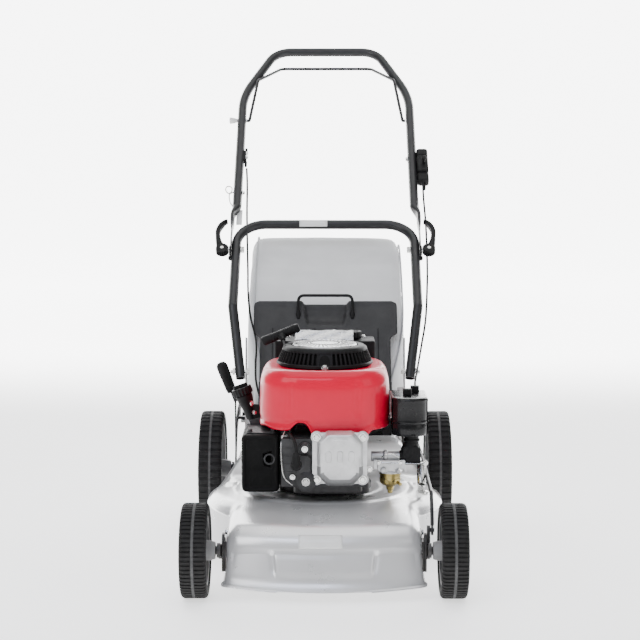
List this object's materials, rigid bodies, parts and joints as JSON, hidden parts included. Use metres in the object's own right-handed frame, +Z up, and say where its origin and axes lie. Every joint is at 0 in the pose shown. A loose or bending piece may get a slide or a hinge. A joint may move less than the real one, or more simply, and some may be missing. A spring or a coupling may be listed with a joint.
{
  "type": "push lawn mower",
  "caption": "Walk-behind petrol lawn mower with pressed steel deck, vertical-shaft engine, folding tube handle, rear flap and fabric grass bag.",
  "frame": {"origin": "on the ground under the middle of the mower's bounding box", "axes": "+Z up; +Y towards the operator's handle, so the mower drives towards -Y; +X to the right when it is seen from in front, and left and right in names are as seen from in front"},
  "size_m": [0.55, 1.5129, 1.0982],
  "materials": {
    "deck_paint": "pale silver paint, semi-gloss",
    "black_plastic": "fine moulded grain",
    "flap_plastic": "moulded, fine grain",
    "zinc_plate": "bright galvanised",
    "dark_steel": "dark satin coat",
    "black_heat_paint": "matt heat-proof paint",
    "dark_cast": "as cast, dark coat",
    "cast_aluminium": "as cast, satin",
    "bright_steel": "machined",
    "bright_zinc": "plated fastener",
    "ceramic_white": null,
    "red_cowl": "high gloss red",
    "gloss_black": "polished",
    "bowl_brass": "yellow passivated",
    "rubber_black": "soft matt",
    "tyre_black": "moulded tread",
    "rim_grey": "moulded",
    "handle_paint": "charcoal powder coat, semi-gloss",
    "bag_cloth": "light grey woven polyester"
  },
  "bodies": {
    "chassis": {"deck": "deck_paint", "discharge_chute": "black_plastic", "handle_brackets": "zinc_plate", "flap_rod": "dark_steel", "crankcase": "dark_cast", "engine_cylinder": "dark_cast", "valve_cover": "cast_aluminium", "cover_bolts": "bright_zinc", "spark_plug": "ceramic_white", "plug_cap": "rubber_black", "ignition_lead": "rubber_black", "shroud": "red_cowl", "recoil_cover": "black_plastic", "muffler": "dark_steel", "muffler_guard": "black_heat_paint", "fuel_tank": "black_plastic", "oil_filler": "black_plastic", "carburettor": "cast_aluminium", "float_bowl": "bowl_brass", "intake_elbow": "black_plastic", "filter_base": "black_plastic", "filter_cover": "gloss_black", "wash_port": "bright_steel", "height_rack": "dark_steel", "control_cables": "rubber_black"},
    "oil_plug": {"oil_cap": "black_plastic"},
    "tank_cap": {"fuel_cap": "black_plastic"},
    "rotor": {"flywheel": "cast_aluminium", "crankshaft": "bright_steel", "blade_adapter": "dark_steel", "blade": "dark_steel", "blade_bolt": "bright_zinc"},
    "pulley": {"recoil_pulley": "black_plastic"},
    "starter": {"starter_grip": "black_plastic"},
    "front_crank": {"front_axle": "dark_steel", "wheel_nuts_front": "bright_zinc"},
    "rear_crank": {"rear_axle": "dark_steel", "wheel_nuts_rear": "bright_zinc", "height_lever": "dark_steel", "height_grip": "rubber_black"},
    "link": {"height_link": "dark_steel"},
    "front_wheel_left": {"front_tyre_left": "tyre_black", "front_rim_left": "rim_grey"},
    "front_wheel_right": {"front_tyre_right": "tyre_black", "front_rim_right": "rim_grey"},
    "rear_wheel_left": {"rear_tyre_left": "tyre_black", "rear_rim_left": "rim_grey"},
    "rear_wheel_right": {"rear_tyre_right": "tyre_black", "rear_rim_right": "rim_grey"},
    "lower_frame": {"lower_handle": "handle_paint", "handle_bolts": "bright_zinc"},
    "upper_frame": {"upper_handle": "handle_paint", "throttle_housing": "black_plastic"},
    "cam_left": {"cam_lever_left": "black_plastic"},
    "cam_right": {"cam_lever_right": "black_plastic"},
    "bail_bar": {"bail": "handle_paint"},
    "throttle": {"throttle_lever": "black_plastic"},
    "flap": {"rear_flap": "flap_plastic"},
    "bag": {"bag_frame": "dark_steel", "bag_fabric": "bag_cloth"}
  },
  "joints": [
    {"name": "height_adjust", "type": "hinge", "parent": "chassis", "child": "rear_crank", "pos_m": [0, -0.01937, 0.113], "axis": [1, 0, 0], "range_deg": [0, 45]},
    {"name": "front_height", "type": "hinge", "parent": "chassis", "child": "front_crank", "pos_m": [0, -0.61938, 0.075], "axis": [1, 0, 0], "range_deg": [0, 45]},
    {"name": "link_pivot", "type": "hinge", "parent": "front_crank", "child": "link", "pos_m": [0.205, -0.61938, 0.117], "axis": [1, 0, 0], "range_deg": [-45, 0]},
    {"name": "front_left_wheel_spin", "type": "hinge", "parent": "front_crank", "child": "front_wheel_left", "pos_m": [-0.2415, -0.66738, 0.089], "axis": [1, 0, 0], "continuous": true},
    {"name": "front_right_wheel_spin", "type": "hinge", "parent": "front_crank", "child": "front_wheel_right", "pos_m": [0.2415, -0.66738, 0.089], "axis": [1, 0, 0], "continuous": true},
    {"name": "rear_left_wheel_spin", "type": "hinge", "parent": "rear_crank", "child": "rear_wheel_left", "pos_m": [-0.25, -0.06738, 0.127], "axis": [1, 0, 0], "continuous": true},
    {"name": "rear_right_wheel_spin", "type": "hinge", "parent": "rear_crank", "child": "rear_wheel_right", "pos_m": [0.25, -0.06738, 0.127], "axis": [1, 0, 0], "continuous": true},
    {"name": "crank_spin", "type": "hinge", "parent": "chassis", "child": "rotor", "pos_m": [0, -0.36738, 0.06], "axis": [0, 0, 1], "continuous": true},
    {"name": "starter_pull", "type": "slide", "parent": "chassis", "child": "starter", "axis": [-0.1891, 0.9033, 0.3851], "range_m": [0, 0.45], "stiffness_N_per_m": 12, "springref_m": -0.3},
    {"name": "pulley_spin", "type": "hinge", "parent": "chassis", "child": "pulley", "pos_m": [0, -0.36738, 0.419], "axis": [0, 0, 1], "range_deg": [0, 580]},
    {"name": "oil_cap_turn", "type": "hinge", "parent": "chassis", "child": "oil_plug", "pos_m": [-0.15, -0.32638, 0.283], "axis": [-0.3419, 0, 0.9397], "range_deg": [0, 180]},
    {"name": "fuel_cap_turn", "type": "hinge", "parent": "chassis", "child": "tank_cap", "pos_m": [0.048, -0.22337, 0.445], "axis": [0, 0, 1], "range_deg": [0, 180]},
    {"name": "lower_fold", "type": "hinge", "parent": "chassis", "child": "lower_frame", "pos_m": [0, -0.04738, 0.341], "axis": [1, 0, 0], "range_deg": [0, 50], "deforming": ["control_cables"]},
    {"name": "upper_fold", "type": "hinge", "parent": "lower_frame", "child": "upper_frame", "pos_m": [0, 0.17263, 0.5986], "axis": [1, 0, 0], "range_deg": [0, 125]},
    {"name": "cam_left_flip", "type": "hinge", "parent": "lower_frame", "child": "cam_left", "pos_m": [-0.243, 0.17263, 0.5986], "axis": [0, -0.6225, 0.7826], "range_deg": [0, 84]},
    {"name": "cam_right_flip", "type": "hinge", "parent": "lower_frame", "child": "cam_right", "pos_m": [0.243, 0.17263, 0.5986], "axis": [0, 0.6225, -0.7826], "range_deg": [0, 84]},
    {"name": "bail_squeeze", "type": "hinge", "parent": "upper_frame", "child": "bail_bar", "pos_m": [0, 0.52963, 0.904], "axis": [1, 0, 0], "range_deg": [0, 5.5], "stiffness_Nm_per_rad": 1, "springref_deg": -28.65},
    {"name": "throttle_turn", "type": "hinge", "parent": "upper_frame", "child": "throttle", "pos_m": [0.241, 0.39303, 0.79014], "axis": [1, 0, 0], "range_deg": [-22, 22]},
    {"name": "flap_lift", "type": "hinge", "parent": "chassis", "child": "flap", "pos_m": [0, -0.06738, 0.248], "axis": [1, 0, 0], "range_deg": [0, 32]},
    {"name": "bag_lift_off", "type": "slide", "parent": "chassis", "child": "bag", "axis": [0, 0.9397, 0.3419], "range_m": [0, 0.5]}
  ],
  "couplings": [
    {"joint": "front_height", "follows": "height_adjust", "ratio": 1},
    {"joint": "link_pivot", "follows": "height_adjust", "ratio": -1},
    {"joint": "pulley_spin", "follows": "starter_pull", "rad_per_m": 22}
  ]
}
